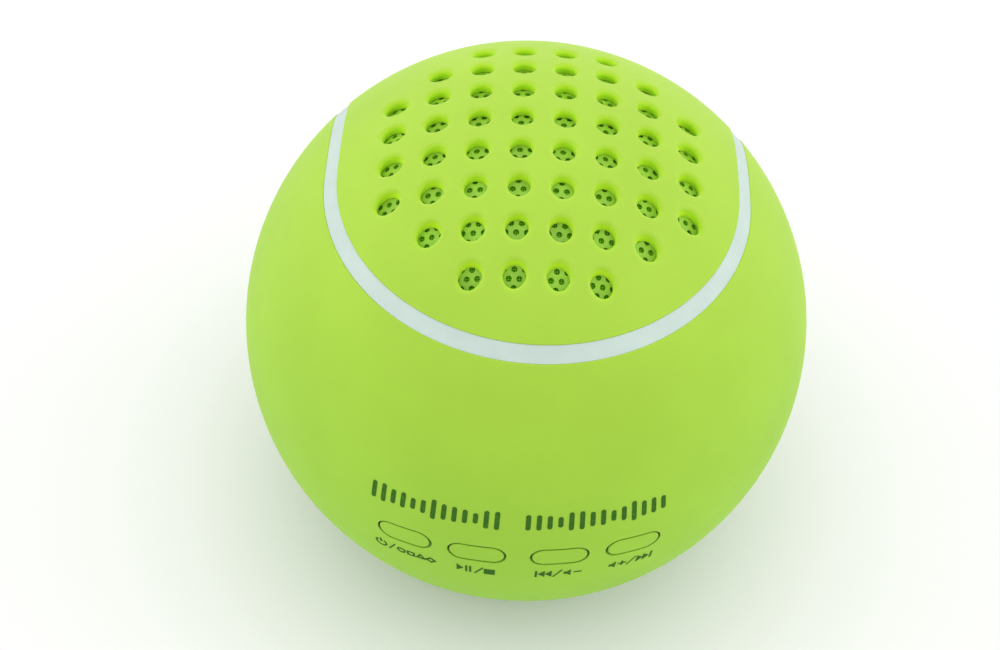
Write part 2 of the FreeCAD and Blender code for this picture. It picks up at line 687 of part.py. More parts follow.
def key_switches():
    """Four square switch bodies, each with a well for its stem."""
    solids = []
    front = KEY_BOARD_Y[0] - SWITCH_H
    for key in KEYS:
        x, z = key_post_x(key[0]), key[1]
        body = block((x - SWITCH_HALF, x + SWITCH_HALF), (front, KEY_BOARD_Y[0]),
                     (z - SWITCH_HALF, z + SWITCH_HALF))
        solids.append(body.cut(key_rod(key, STEM_R + 0.1, front - 1, KEY_BOARD_Y[0] - 0.9)))
    return Part.makeCompound(solids)


def key_board_screws():
    solids = []
    for x in (-KEY_POST_X, KEY_POST_X):
        head = cyl_y(1.7, KEY_BOARD_Y[1], KEY_BOARD_Y[1] + 1.1, x)
        solids.append(head.fuse(cyl_y(KEY_SCREW_R, KEY_SCREW_TIP_Y, KEY_BOARD_Y[1], x)))
    return Part.makeCompound(solids)


def board_ribbon():
    """Flat flex from the key board's back down onto the main board."""
    back, top, sheet, bend = KEY_BOARD_Y[1], BOARD_Z[1], 0.25, 1.2
    c = math.sqrt(0.5)
    centre_y, centre_z = back + sheet + bend, top + sheet + bend
    outer = bend + sheet
    profile = [(back, 4.2), (back, centre_z),
               ((centre_y - outer * c, centre_z - outer * c), (centre_y, top)), (-17.0, top),
               (-17.0, top + sheet), (centre_y, top + sheet),
               ((centre_y - bend * c, centre_z - bend * c), (back + sheet, centre_z)), (back + sheet, 4.2)]
    strip = outline(*profile)
    strip.rotate(V(0, 0, 0), Z_AXIS, 90)
    strip.translate(V(4.0, 0, 0))
    return strip.extrude(V(-8.0, 0, 0))


def battery():
    """Pouch cell with rounded long edges."""
    cell = block((-BATTERY_HALF[0], BATTERY_HALF[0]), (-BATTERY_HALF[1], BATTERY_HALF[1]), BATTERY_Z)
    return cell.makeFillet(2.0, [e for e in cell.Edges if abs(e.tangentAt(0).x) > 0.99])


def battery_wires():
    x = BATTERY_HALF[0]
    return Part.makeCompound([tube([(x, y, -11), (x + 3.4, y, -11), (x + 3.4, y, BOARD_Z[0])], WIRE_R, 2.5)
                              for y in (-2.0, 2.0)])


def driver_wires():
    route = [(16.0, 12.5), (16.0, 6.5), (21.0, 2.0), (21.0, BOARD_Z[1])]
    return Part.makeCompound([tube([(x, y, z) for x, z in route], WIRE_R, 2.2) for y in (-TAG_Y, TAG_Y)])


# ---------------------------------------------------------------- port bay and base

def port_tub():
    """Hard insert behind the flap, with the sockets' mouths in its floor and the flap's bearings."""
    tub = block((-TUB_X, TUB_X), (TUB_Y, BALL_R), TUB_Z).common(ball(CORE_R))
    bay = rounded_block((-BAY_X, BAY_X), (BAY_FLOOR_Y, BALL_R), BAY_Z, 1.5)
    barrel_room = cyl_x(HINGE_R + 0.25, -HINGE_X - FLAP_GAP, HINGE_X + FLAP_GAP, HINGE_Y, HINGE_Z)
    tab_room = block((-HINGE_X - FLAP_GAP, HINGE_X + FLAP_GAP), (HINGE_Y - 0.5, BALL_R),
                     (WINDOW_TAB_Z, HINGE_Z))
    low, high = BOARD_Z
    usb_half, card_half = USB_SIZE[0] / 2, CARD_SIZE[0] / 2
    mouths = [
        rounded_block((USB_X - usb_half, USB_X + usb_half), (28, BAY_FLOOR_Y + 1),
                      (high, high + USB_SIZE[1]), 0.7),
        cyl_y(JACK_NOSE_R, 28, BAY_FLOOR_Y + 1, JACK_X, high + JACK_NOSE_Z),
        block((-card_half, card_half), (28, BAY_FLOOR_Y + 1), (low - CARD_SIZE[1], low)),
    ]
    tub = fused(tub, *hinge_ears().Solids)
    pin_hole = cyl_x(PIN_R, -EAR_X[1] - 1, EAR_X[1] + 1, HINGE_Y, HINGE_Z)
    return tub.cut([bay, barrel_room, tab_room, pin_hole] + mouths)


def port_cover_pin():
    return cyl_x(PIN_R, -EAR_X[1] + 0.1, EAR_X[1] - 0.1, HINGE_Y, HINGE_Z)


def port_cover():
    """Flap that continues the ball's surface, with a sealing rim inside and a barrel on its lower edge."""
    shell = ball(BALL_R).cut(ball(SKIN_IN_R + 0.05))
    plate = rounded_block((-WINDOW_X + FLAP_GAP, WINDOW_X - FLAP_GAP), (25, BALL_R + 1),
                          (WINDOW_Z[0] + FLAP_GAP, WINDOW_Z[1]), WINDOW_ROUND)
    swing = cyl_x(WINDOW_Z[1] - HINGE_Z - 1.5 * FLAP_GAP, -20, 20, HINGE_Y, HINGE_Z)
    tab = block((-HINGE_X, HINGE_X), (25, BALL_R + 1), (HINGE_Z, 0))
    plate = shell.common(plate.fuse(tab)).common(swing)
    for side in ((-20, -HINGE_X), (HINGE_X, 20)):
        plate = plate.cut(cyl_x(FLAP_RELIEF_R, *side, HINGE_Y, HINGE_Z))
    rim_shell = ball(SKIN_IN_R + 0.2).cut(ball(RIM_END_R))
    rim = rounded_block((-RIM_OUTSIDE[0], RIM_OUTSIDE[0]), (25, 45), RIM_OUTSIDE[1:], 1.3)
    rim = rim.cut(rounded_block((-RIM_INSIDE[0], RIM_INSIDE[0]), (20, 50), RIM_INSIDE[1:], 0.8))
    barrel = cyl_x(HINGE_R, -HINGE_X, HINGE_X, HINGE_Y, HINGE_Z).common(ball(BALL_R - 0.1))
    cover = fused(plate, rim.common(rim_shell), barrel)
    return cover.cut(cyl_x(PIN_R + PIN_CLEAR, -20, 20, HINGE_Y, HINGE_Z))


def base_plate():
    """Stepped disc that clamps the skin's lip against the core."""
    hub = cyl(LIP_HOLE_R - 0.2, SKIN_FLOOR_Z, LIP_TOP_Z)
    flange = cyl(BASE_FLANGE_R, BASE_FLANGE_Z, SKIN_FLOOR_Z)
    plate = fused(hub, flange)
    cuts = []
    for x, y in around(BASE_SCREW_RING, BASE_SCREW_ANGLES):
        cuts += [cyl(BASE_SCREW_R + 0.15, -40, -30, x, y), cyl(2.2, -40, BASE_HEAD_Z, x, y)]
    return plate.cut(cuts)


def base_screws():
    return Part.makeCompound([screw_up(x, y, BASE_HEAD_Z, BASE_TIP_Z, BASE_SCREW_R, 2.0, 1.2)
                              for x, y in around(BASE_SCREW_RING, BASE_SCREW_ANGLES)])


def base_foot():
    """Rubber ring that the ball stands on."""
    foot = ring(*FOOT_R, FOOT_Z, BASE_FLANGE_Z)
    return foot.makeFillet(0.25, [e for e in foot.Edges if abs(e.CenterOfMass.z - FOOT_Z) < 1e-6])


def build():
    os.makedirs("parts", exist_ok=True)
    save("silicone_skin", silicone_skin())
    save("seam_inlay", seam_inlay())
    for name, key in zip(KEY_NAMES, KEYS):
        save(f"{name}_key", key_cap(key))
        save(f"{name}_switch_stem", key_rod(key, STEM_R, STEM_TOP_Y, STEM_FOOT_Y))
    save("perforated_grille", perforated_grille())
    save("dust_cloth", dome(*CLOTH, PLATE_EDGE_R))
    save("upper_core", upper_core())
    save("lower_core", lower_core())
    save("core_gasket", core_gasket())
    save("core_screws", core_screws())
    save("driver_frame", driver_frame())
    save("driver_gasket", driver_gasket())
    save("driver_screws", driver_screws())
    save("driver_top_plate", ring(7.6, 11.5, *PLATE_Z))
    save("driver_magnet", ring(8.4, 12.4, MAGNET_BOTTOM_Z, PLATE_Z[0]))
    save("driver_yoke", driver_yoke())
    save("driver_terminals", driver_terminals())
    save("voice_coil", voice_coil())
    save("driver_cone", driver_cone())
    save("dust_cap", dust_cap())
    save("cone_surround", cone_surround())
    save("spider", spider())
    save("main_board", main_board())
    save("main_board_screws", board_screws())
    save("radio_module", radio_module())
    save("amplifier_chip", amplifier_chip())
    save("capacitors", capacitors())
    save("usb_socket", usb_socket())
    save("audio_jack", audio_jack())
    save("card_socket", card_socket())
    save("key_board", key_board())
    save("key_switches", key_switches())
    save("key_board_screws", key_board_screws())
    save("board_ribbon", board_ribbon())
    save("battery", battery())
    save("battery_pad", slab(0, 0, 2 * PAD_HALF[0], 2 * PAD_HALF[1], TRAY_Z[1], BATTERY_Z[0]))
    save("battery_wires", battery_wires())
    save("driver_wires", driver_wires())
    save("port_tub", port_tub())
    save("port_cover_pin", port_cover_pin())
    save("port_cover", port_cover())
    save("base_plate", base_plate())
    save("base_screws", base_screws())
    save("base_foot", base_foot())


build()
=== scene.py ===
"""Looks of the ball speaker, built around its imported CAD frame. Metres, +Z up, keys facing -Y."""

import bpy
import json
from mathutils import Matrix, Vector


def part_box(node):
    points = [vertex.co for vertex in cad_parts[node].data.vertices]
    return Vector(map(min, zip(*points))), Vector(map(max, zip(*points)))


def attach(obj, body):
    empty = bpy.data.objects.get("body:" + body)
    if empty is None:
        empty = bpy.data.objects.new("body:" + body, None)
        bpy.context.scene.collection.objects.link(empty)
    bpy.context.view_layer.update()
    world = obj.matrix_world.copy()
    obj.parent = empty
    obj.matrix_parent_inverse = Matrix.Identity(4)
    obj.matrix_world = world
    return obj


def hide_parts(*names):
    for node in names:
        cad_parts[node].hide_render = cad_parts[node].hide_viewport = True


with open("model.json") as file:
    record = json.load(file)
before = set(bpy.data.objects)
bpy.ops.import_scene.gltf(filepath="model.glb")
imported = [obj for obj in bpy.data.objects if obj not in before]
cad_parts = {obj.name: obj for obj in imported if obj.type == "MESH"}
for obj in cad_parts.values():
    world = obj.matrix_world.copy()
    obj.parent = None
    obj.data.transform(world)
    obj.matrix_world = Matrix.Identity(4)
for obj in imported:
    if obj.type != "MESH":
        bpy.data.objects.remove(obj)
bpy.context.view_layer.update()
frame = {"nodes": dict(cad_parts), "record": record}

import json
import math

import bmesh
import bpy
from mathutils import Matrix, Vector

MM = 0.001
NODES = frame["nodes"]
HOUSING = "housing"

# The ball, read from the frame: the skin is widest at its equator
skin_low, skin_high = (Vector(c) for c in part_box("silicone_skin"))
BALL_R = (skin_high.x - skin_low.x) / 2
CENTRE = Vector(((skin_high.x + skin_low.x) / 2, 0.0, skin_high.z - BALL_R))

# Perforated plate under the sound holes, and its field of small holes
plate_low, plate_high = (Vector(c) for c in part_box("perforated_grille"))
PLATE_R = plate_high.z - CENTRE.z
PLATE_EDGE = (plate_high.x - plate_low.x) / 2
PLATE_T = 0.28 * MM
PERF_PITCH = 1.405 * MM
PERF_R = 0.41 * MM
PERF_SHIFT = (-0.12 * MM, 0.42 * MM)    # place of one small hole, from the plate's middle
PERF_SIDES = 12

# Zones of the rubber's colour, painted shade and painted light among them: heights over the ball's centre,
# depths under its surface
SHADE_HEIGHTS = (-25 * MM, 32 * MM)     # painted shade: deeper lime below, plain lime above
DOME_HEIGHTS = (26 * MM, 28 * MM)       # every sound hole is above the second one
# Painted light on the sound holes' walls, between these depths under the surface
WALL_DEPTHS = (0.75 * MM, 0.05 * MM)
# Painted shade in the gaps round the keys, between these depths under the surface
GAP_DEPTHS = (0.065 * MM, 0.03 * MM)
KEY_BAND = (3.5 * MM, 4.0 * MM)         # the keys are this near the equator's level
KEY_FRONT = (-15 * MM, -10 * MM)        # and this far forward

# Printing on the skin
KEY_NAMES = ("mode", "play", "previous", "next")
LABEL_DROP = 4.47 * MM                  # below each key's middle
LABEL_SHIFT = (0.0, 0.0, 0.25, 0.6)     # degrees round the ball from each key's middle
LABEL_TILT = (4.0, 0.8, 0.4, -2.0)      # degrees
STROKE = 0.3                            # line width of the signs, in millimetres
ARROW_W, ARROW_HALF_H = 0.95, 0.9       # millimetres
TALL = 1.8                              # height of the signs' upright strokes, in millimetres
MOTIF_RISE = 7.7 * MM                   # summit of the row of bars, over the ball's centre
MOTIF_SUMMIT = 9.0                      # longitude in degrees
MOTIF_FALL = 2.8 * MM                   # fall per squared radian from the summit
MOTIF_ROWS = (("left", -16.7, 13, 0.3), ("right", 15.15, 14, 2.1))     # longitude, bars, phase
MOTIF_PITCH, MOTIF_BAR_W = 1.42 * MM, 0.66 * MM
MOTIF_BASE, MOTIF_SWING = 1.5 * MM, 2.3 * MM        # a bar's height is the base and some swing
INK_LIFT = 0.012 * MM
INK_T = 0.02 * MM
FACET = 0.7 * MM                        # longest straight step of a printed shape along the ball

# Camera: on the keys' side, looking down on the ball; angles in degrees
VIEW_ELEVATION = 51.99
VIEW_AZIMUTH = -2.24
VIEW_ROLL = 5.27
VIEW_DISTANCE = 7.76         # in ball radii
SENSOR = 36.0                # millimetres
BALL_SHARE = 0.2803          # ball radius as a share of the picture's width
SHIFT = (-0.0263, -0.0043)   # of the picture, as shares of its width

# Soft lights aimed at the ball: place and size in metres, power in watts
LIGHTS = {
    "top_softbox": ((0.0, 0.05, 0.9), 0.9, 1.8),
    "left_softbox": ((-0.9, 0.1, 0.4), 0.8, 1.8),
    "right_softbox": ((0.9, 0.1, 0.4), 0.8, 2.0),
}
WORLD_LIGHT = 1.04
FLOOR_SIZE = 6.0


# ---------------------------------------------------------------- node helpers

class Surface:
    """A material under construction: its shader, its node tree and the object's own coordinates."""

    def __init__(self, name, colour, roughness, **sockets):
        self.material = bpy.data.materials.new(name)
        self.material.use_nodes = True
        self.tree = self.material.node_tree
        self.shader = self.tree.nodes["Principled BSDF"]
        self.coords = self.add("ShaderNodeTexCoord").outputs["Object"]
        self.shader.inputs["Base Color"].default_value = (*colour, 1)
        self.shader.inputs["Roughness"].default_value = roughness
        for socket, value in sockets.items():
            self.shader.inputs[socket.replace("_", " ")].default_value = value
        self.material.diffuse_color = (*colour, 1)

    def add(self, kind, **settings):
        node = self.tree.nodes.new(kind)
        for key, value in settings.items():
            setattr(node, key, value)
        return node

    def link(self, source, target):
        self.tree.links.new(source, target)

    def noise(self, scale, detail=3.0, roughness=0.55, stretch=None):
        """Noise whose features are about 1/scale metres across."""
        node = self.add("ShaderNodeTexNoise")
        node.inputs["Scale"].default_value = scale
        node.inputs["Detail"].default_value = detail
        node.inputs["Roughness"].default_value = roughness
        source = self.coords
        if stretch:
            mapping = self.add("ShaderNodeMapping")
            mapping.inputs["Scale"].default_value = stretch
            self.link(source, mapping.inputs["Vector"])
            source = mapping.outputs["Vector"]
        self.link(source, node.inputs["Vector"])
        return node.outputs["Fac"]

    def waves(self, scale, axis, distortion=0.0):
        """Bands across one axis; they are pi / (10 * scale) metres apart."""
        node = self.add("ShaderNodeTexWave", bands_direction=axis)
        node.inputs["Scale"].default_value = scale
        node.inputs["Distortion"].default_value = distortion
        self.link(self.coords, node.inputs["Vector"])
        return node.outputs["Fac"]

    def spread(self, value, low, high, from_low=0.3, from_high=0.7):
        """Maps from_low..from_high onto low..high, and holds the ends beyond."""
        node = self.add("ShaderNodeMapRange")
        node.inputs["From Min"].default_value = from_low
        node.inputs["From Max"].default_value = from_high
        node.inputs["To Min"].default_value = low
        node.inputs["To Max"].default_value = high
        self.link(value, node.inputs["Value"])
        return node.outputs["Result"]

    def colours(self, value, *stops):
        """Colour ramp through (position, colour) stops."""
        ramp = self.add("ShaderNodeValToRGB")
        elements = ramp.color_ramp.elements
        while len(elements) < len(stops):
            elements.new(0.5)
        for element, (position, colour) in zip(elements, stops):
            element.position = position
            element.color = (*colour, 1)
        self.link(value, ramp.inputs["Fac"])
        return ramp.outputs["Color"]

    def mix(self, factor, first, second):
        """Colour that goes from first to second; each is a colour or a link."""
        node = self.add("ShaderNodeMix", data_type="RGBA")
        colour_sockets = [socket for socket in node.inputs if socket.type == "RGBA"]
        for socket, value in zip(colour_sockets, (first, second)):
            if isinstance(value, tuple):
                socket.default_value = (*value, 1)
            else:
                self.link(value, socket)
        self.link(factor, node.inputs["Factor"])
        return [socket for socket in node.outputs if socket.type == "RGBA"][0]

    def ball_radius(self):
        """Distance from the ball's centre."""
        node = self.add("ShaderNodeVectorMath", operation="DISTANCE")
        node.inputs[1].default_value = CENTRE
        self.link(self.coords, node.inputs[0])
        return node.outputs["Value"]

    def place(self, axis):
        """One coordinate, "X", "Y" or "Z", in metres."""
        node = self.add("ShaderNodeSeparateXYZ")
        self.link(self.coords, node.inputs[0])
        return node.outputs[axis]

    def facing_keys(self):
        """1 on the front band that holds the keys, 0 elsewhere."""
        level = self.maths("ABSOLUTE", self.maths("SUBTRACT", self.place("Z"), CENTRE.z), 0)
        band = self.spread(level, 1, 0, *KEY_BAND)
        return self.maths("MULTIPLY", band, self.spread(self.place("Y"), 1, 0, *KEY_FRONT))

    def above(self, heights):
        """0 up to the first height over the ball's centre, 1 from the second one."""
        low, high = heights
        return self.spread(self.place("Z"), 0, 1, CENTRE.z + low, CENTRE.z + high)

    def under_surface(self, depths):
        """1 from the first, larger depth under the ball's surface, 0 up to the second one."""
        deep, shallow = depths
        return self.spread(self.ball_radius(), 1, 0, BALL_R - deep, BALL_R - shallow)

    def maths(self, operation, first, second):
        node = self.add("ShaderNodeMath", operation=operation)
        for socket, value in zip(node.inputs, (first, second)):
            if isinstance(value, (int, float)):
                socket.default_value = value
            else:
                self.link(value, socket)
        return node.outputs["Value"]

    def paint(self, colour):
        self.link(colour, self.shader.inputs["Base Color"])

    def roughen(self, value):
        self.link(value, self.shader.inputs["Roughness"])

    def bump(self, *layers):
        """Bump layers of (height, strength, distance in metres), finest last."""
        normal = None
        for height, strength, distance in layers:
            node = self.add("ShaderNodeBump")
            node.inputs["Strength"].default_value = strength
            node.inputs["Distance"].default_value = distance
            self.link(height, node.inputs["Height"])
            if normal:
                self.link(normal, node.inputs["Normal"])
            normal = node.outputs["Normal"]
        self.link(normal, self.shader.inputs["Normal"])


def shade(colour, factor):
    return tuple(min(1.0, c * factor) for c in colour)


# ---------------------------------------------------------------- materials

LIME = (0.350, 0.564, 0.048)
SHADED_LOWER_LIME = (0.238, 0.518, 0.012)       # painted shade, deeper towards the ball's underside
LIT_LIME = (0.52, 0.83, 0.006)          # the sound holes' walls, lit through the thin rubber
SHADED_GAP_LIME = (0.260, 0.520, 0.030)        # painted shade on the skin down in the gaps round the keys
SHADED_KEY_EDGE_LIME = (0.110, 0.270, 0.013)     # painted shade on the keys' own edges, down in the gaps
WHITE_RUBBER = (0.495, 0.600, 0.550)
INK = (0.040, 0.135, 0.013)


def soft_touch(name, colour, gap_colour):
    """Matte silicone: faint cloudy colour, powdery sheen and a very fine moulded grain.

    The lower half is deeper in colour as painted shade, the walls of the sound holes are lighter as painted
    light, and the key gaps are darker as painted shade."""
    s = Surface(name, colour, 0.6, Sheen_Weight=0.10, Sheen_Roughness=0.75, Specular_IOR_Level=0.05)
    s.shader.inputs["Sheen Tint"].default_value = (0.93, 1.0, 0.80, 1)
    s.shader.inputs["Subsurface Weight"].default_value = 0.3
    s.shader.inputs["Subsurface Radius"].default_value = (1.0, 1.0, 0.2)
    s.shader.inputs["Subsurface Scale"].default_value = 0.8 * MM
    clouds = s.noise(60, 4)
    upper = s.colours(clouds, (0.32, shade(colour, 0.965)), (0.68, shade(colour, 1.03)))
    lower = s.colours(clouds, (0.32, shade(SHADED_LOWER_LIME, 0.965)), (0.68, shade(SHADED_LOWER_LIME, 1.03)))
    # Painted shade: the lower half is mixed towards the deeper lime
    surface = s.mix(s.above(SHADE_HEIGHTS), lower, upper)
    # Painted light: the sound holes' walls get the lighter LIT_LIME
    lit_hole_walls = s.maths("MULTIPLY", s.above(DOME_HEIGHTS), s.under_surface(WALL_DEPTHS))
    # Painted shade: the walls down in the key gaps get the darker gap colour
    key_gap_shade = s.maths("MULTIPLY", s.facing_keys(), s.under_surface(GAP_DEPTHS))
    s.paint(s.mix(key_gap_shade, s.mix(lit_hole_walls, surface, LIT_LIME), gap_colour))
    s.roughen(s.spread(s.noise(450, 3), 0.54, 0.66))
    s.bump((s.noise(1400, 2), 0.10, 0.05 * MM), (s.noise(7000, 2), 0.22, 0.02 * MM))
    return s.material


def seam_white(name):
    s = Surface(name, WHITE_RUBBER, 0.6, Sheen_Weight=0.1, Specular_IOR_Level=0.2)
    grime = s.noise(240, 5, 0.65)
    s.paint(s.colours(grime, (0.30, shade(WHITE_RUBBER, 0.93)), (0.62, WHITE_RUBBER),
                      (0.80, shade(WHITE_RUBBER, 1.05))))
    s.roughen(s.spread(s.noise(900), 0.5, 0.7))
    s.bump((s.noise(2500, 3), 0.15, 0.04 * MM), (s.noise(8000, 2), 0.2, 0.02 * MM))
    return s.material


def printed_ink(name):
    s = Surface(name, INK, 0.7, Specular_IOR_Level=0.06)
    s.paint(s.colours(s.noise(1800, 4, 0.7), (0.28, shade(INK, 1.5)), (0.45, INK), (0.75, shade(INK, 0.8))))
    s.roughen(s.spread(s.noise(3000), 0.6, 0.75))
    s.bump((s.noise(6000, 2), 0.2, 0.01 * MM),)
    return s.material


def worked_metal(name, colour, roughness, grain=(1, 1, 14), metallic=1.0):
    """Rolled or plated metal, brushed along its stretch direction."""
    s = Surface(name, colour, roughness, Metallic=metallic)
    streaks = s.noise(900, 3, 0.6, grain)
    s.paint(s.colours(s.noise(300, 4), (0.3, shade(colour, 0.82)), (0.7, shade(colour, 1.08))))
    s.roughen(s.spread(streaks, max(0.05, roughness - 0.1), roughness + 0.12))
    s.bump((streaks, 0.12, 0.02 * MM),)
    return s.material


def moulded_plastic(name, colour, roughness, grain=3500):
    """Injection-moulded plastic with a spark-eroded grain and slight flow marks."""
    s = Surface(name, colour, roughness)
    s.paint(s.colours(s.noise(120, 4), (0.3, shade(colour, 0.9)), (0.7, shade(colour, 1.12))))
    s.roughen(s.spread(s.noise(800), roughness - 0.08, roughness + 0.1))
    s.bump((s.noise(grain, 3, 0.7), 0.25, 0.03 * MM),)
    return s.material


def plain_rubber(name, colour):
    s = Surface(name, colour, 0.75, Specular_IOR_Level=0.3)
    s.paint(s.colours(s.noise(350, 5, 0.7), (0.3, shade(colour, 0.8)), (0.72, shade(colour, 1.6))))
    s.roughen(s.spread(s.noise(1200), 0.62, 0.88))
    s.bump((s.noise(2200, 4, 0.7), 0.3, 0.04 * MM),)
    return s.material


def woven_cloth(name, colour, pitch):
    """Plain weave: two crossed sets of threads."""
    s = Surface(name, colour, 0.9, Sheen_Weight=0.03, Specular_IOR_Level=0.1)
    turns = math.pi / (10 * pitch)
    warp = s.waves(turns, "X", 0.4)
    weft = s.waves(turns, "Y", 0.4)
    threads = s.maths("MULTIPLY", warp, weft)
    # Painted shade in the weave's dips and painted highlight on its crossings
    s.paint(s.colours(threads, (0.0, shade(colour, 0.35)), (0.7, colour), (1.0, shade(colour, 1.8))))
    s.bump((threads, 0.6, 0.05 * MM),)
    return s.material


def pressed_fibre(name, colour, grain=1600):
    s = Surface(name, colour, 0.85)
    s.paint(s.colours(s.noise(700, 6, 0.75), (0.3, shade(colour, 0.7)), (0.7, shade(colour, 1.5))))
    s.bump((s.noise(grain, 6, 0.8), 0.45, 0.06 * MM),)
    return s.material


def solder_mask(name, colour):
    """Circuit board: lacquer over faint copper tracks that run in two directions."""
    s = Surface(name, colour, 0.3, Coat_Weight=0.4, Coat_Roughness=0.2)
    along = s.waves(95, "X", 2.5)
    across = s.waves(80, "Y", 2.0)
    tracks = s.maths("MAXIMUM", along, across)
    s.paint(s.colours(tracks, (0.80, colour), (0.90, shade(colour, 1.9))))
    s.roughen(s.spread(s.noise(900), 0.25, 0.4))
    s.bump((tracks, 0.2, 0.03 * MM),)
    return s.material


def crinkled_foil(name, colour):
    s = Surface(name, colour, 0.32, Metallic=0.9)
    s.paint(s.colours(s.noise(90, 4), (0.3, shade(colour, 0.85)), (0.7, shade(colour, 1.05))))
    s.roughen(s.spread(s.noise(500), 0.25, 0.42))
    s.bump((s.noise(260, 4, 0.6), 0.35, 0.2 * MM),)
    return s.material


def wound_wire(name, colour):
    """Enamelled copper turns lying side by side."""
    s = Surface(name, colour, 0.3, Metallic=0.9, Coat_Weight=0.5)
    turns = s.waves(math.pi / (10 * 0.15 * MM), "Z")
    # Painted shade in the grooves between the turns
    s.paint(s.colours(turns, (0.1, shade(colour, 0.4)), (0.6, colour)))
    s.bump((turns, 0.6, 0.04 * MM),)
    return s.material


MATERIALS = {
    "lime_rubber": soft_touch("lime_rubber", LIME, SHADED_GAP_LIME),
    # The keys' edges down in the gaps are painted darker as shade
    "key_rubber": soft_touch("key_rubber", shade(LIME, 0.985), SHADED_KEY_EDGE_LIME),
    "seam_rubber": seam_white("seam_rubber"),
    # The plate's green is partly painted light, bounced off the lime walls of the sound holes
    "grille_metal": worked_metal("grille_metal", (0.275, 0.525, 0.024), 0.55, (1, 1, 1), 0.0),
    # The cloth's bright green is partly painted light from the lime hole walls; the cloth itself is dark
    "cloth_weave": woven_cloth("cloth_weave", (0.145, 0.480, 0.004), 0.28 * MM),
    "core_plastic": moulded_plastic("core_plastic", (0.045, 0.045, 0.047), 0.5),
    "seal_rubber": plain_rubber("seal_rubber", (0.022, 0.022, 0.023)),
    "screw_steel": worked_metal("screw_steel", (0.60, 0.60, 0.61), 0.28, (1, 1, 1)),
    "basket_steel": moulded_plastic("basket_steel", (0.03, 0.03, 0.032), 0.35, 1800),
    "zinc_steel": worked_metal("zinc_steel", (0.62, 0.62, 0.58), 0.35),
    "ferrite": pressed_fibre("ferrite", (0.05, 0.05, 0.055), 2600),
    "strip_board": pressed_fibre("strip_board", (0.40, 0.25, 0.10), 1200),
    "coil_copper": wound_wire("coil_copper", (0.72, 0.36, 0.18)),
    "cone_paper": pressed_fibre("cone_paper", (0.05, 0.05, 0.05)),
    "spider_cloth": woven_cloth("spider_cloth", (0.55, 0.40, 0.16), 0.35 * MM),
    "green_board": solder_mask("green_board", (0.020, 0.150, 0.050)),
    "shield_can": worked_metal("shield_can", (0.74, 0.74, 0.72), 0.3, (12, 1, 1)),
    "chip_black": moulded_plastic("chip_black", (0.025, 0.025, 0.028), 0.45),
    "socket_metal": worked_metal("socket_metal", (0.72, 0.71, 0.68), 0.25, (1, 10, 1)),
    "socket_plastic": moulded_plastic("socket_plastic", (0.03, 0.03, 0.03), 0.45),
    "stem_plastic": moulded_plastic("stem_plastic", (0.80, 0.80, 0.77), 0.4),
    "flex_amber": solder_mask("flex_amber", (0.45, 0.20, 0.03)),
    "cell_foil": crinkled_foil("cell_foil", (0.62, 0.64, 0.66)),
    "foam": pressed_fibre("foam", (0.09, 0.09, 0.09), 900),
    "wire_red": moulded_plastic("wire_red", (0.50, 0.02, 0.015), 0.35),
    "base_plastic": moulded_plastic("base_plastic", (0.06, 0.062, 0.06), 0.5),
}
INK_MATERIAL = printed_ink("printed_ink")


def finish_cad_nodes():
    """Gives each carried-over CAD node the material of its record slot."""
    for part in frame["record"]["subparts"]:
        node = NODES[part["node"]]
        node.data.materials.clear()
        node.data.materials.append(MATERIALS[part["material_slot"]])


# ---------------------------------------------------------------- geometry helpers

def on_ball(lon, lat, radius):
    """Point at a longitude (0 at the front, + towards +X) and latitude, in radians."""
    level = math.cos(lat)
    return CENTRE + Vector((level * math.sin(lon), -level * math.cos(lon), math.sin(lat))) * radius


def new_sheet(name, mesh, material, thickness):
    """Piece of the housing: a surface that gets its thickness inwards."""
    mesh.materials.append(material)
    piece = bpy.data.objects.new(name, mesh)
    bpy.context.scene.collection.objects.link(piece)
    thick = piece.modifiers.new("sheet", "SOLIDIFY")
    thick.thickness = thickness
    thick.offset = -1
    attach(piece, HOUSING)
    return piece


def filled_outlines(outlines):
    """Flat mesh from closed outlines in metres; an outline inside another is a hole."""
    curve = bpy.data.curves.new("outline", "CURVE")
    curve.dimensions = "2D"
    curve.fill_mode = "BOTH"
    for points in outlines:
        spline = curve.splines.new("POLY")
        spline.points.add(len(points) - 1)
        for target, (u, v) in zip(spline.points, points):
            target.co = (u, v, 0, 1)
        spline.use_cyclic_u = True
    holder = bpy.data.objects.new("outline", curve)
    mesh = bpy.data.meshes.new_from_object(holder)
    bpy.data.objects.remove(holder)
    bpy.data.curves.remove(curve)
    return mesh


def printed(name, outlines, place):
    """Thin ink layer laid on the ball; place turns a flat point into a longitude and latitude.

    The flat mesh is cut into small squares first, so that it follows the ball."""
    mesh = filled_outlines(outlines)
    bm = bmesh.new()
    bm.from_mesh(mesh)
    cuts = math.ceil(max(max(abs(v.co.x), abs(v.co.y)) for v in bm.verts) / FACET)
    for k in range(-cuts, cuts + 1):
        for normal in ((1, 0, 0), (0, 1, 0)):
            bmesh.ops.bisect_plane(bm, geom=bm.verts[:] + bm.edges[:] + bm.faces[:],
                                   plane_co=Vector(normal) * (k * FACET), plane_no=normal)
    bmesh.ops.remove_doubles(bm, verts=bm.verts, dist=1e-7)
    for v in bm.verts:
        v.co = on_ball(*place(v.co.x, v.co.y), BALL_R + INK_LIFT + INK_T)
    bmesh.ops.recalc_face_normals(bm, faces=bm.faces)
    if sum(f.normal.dot(f.calc_center_median() - CENTRE) for f in bm.faces) < 0:
        bmesh.ops.reverse_faces(bm, faces=bm.faces)
    bm.to_mesh(mesh)
    bm.free()
    new_sheet(name, mesh, INK_MATERIAL, INK_LIFT + INK_T)


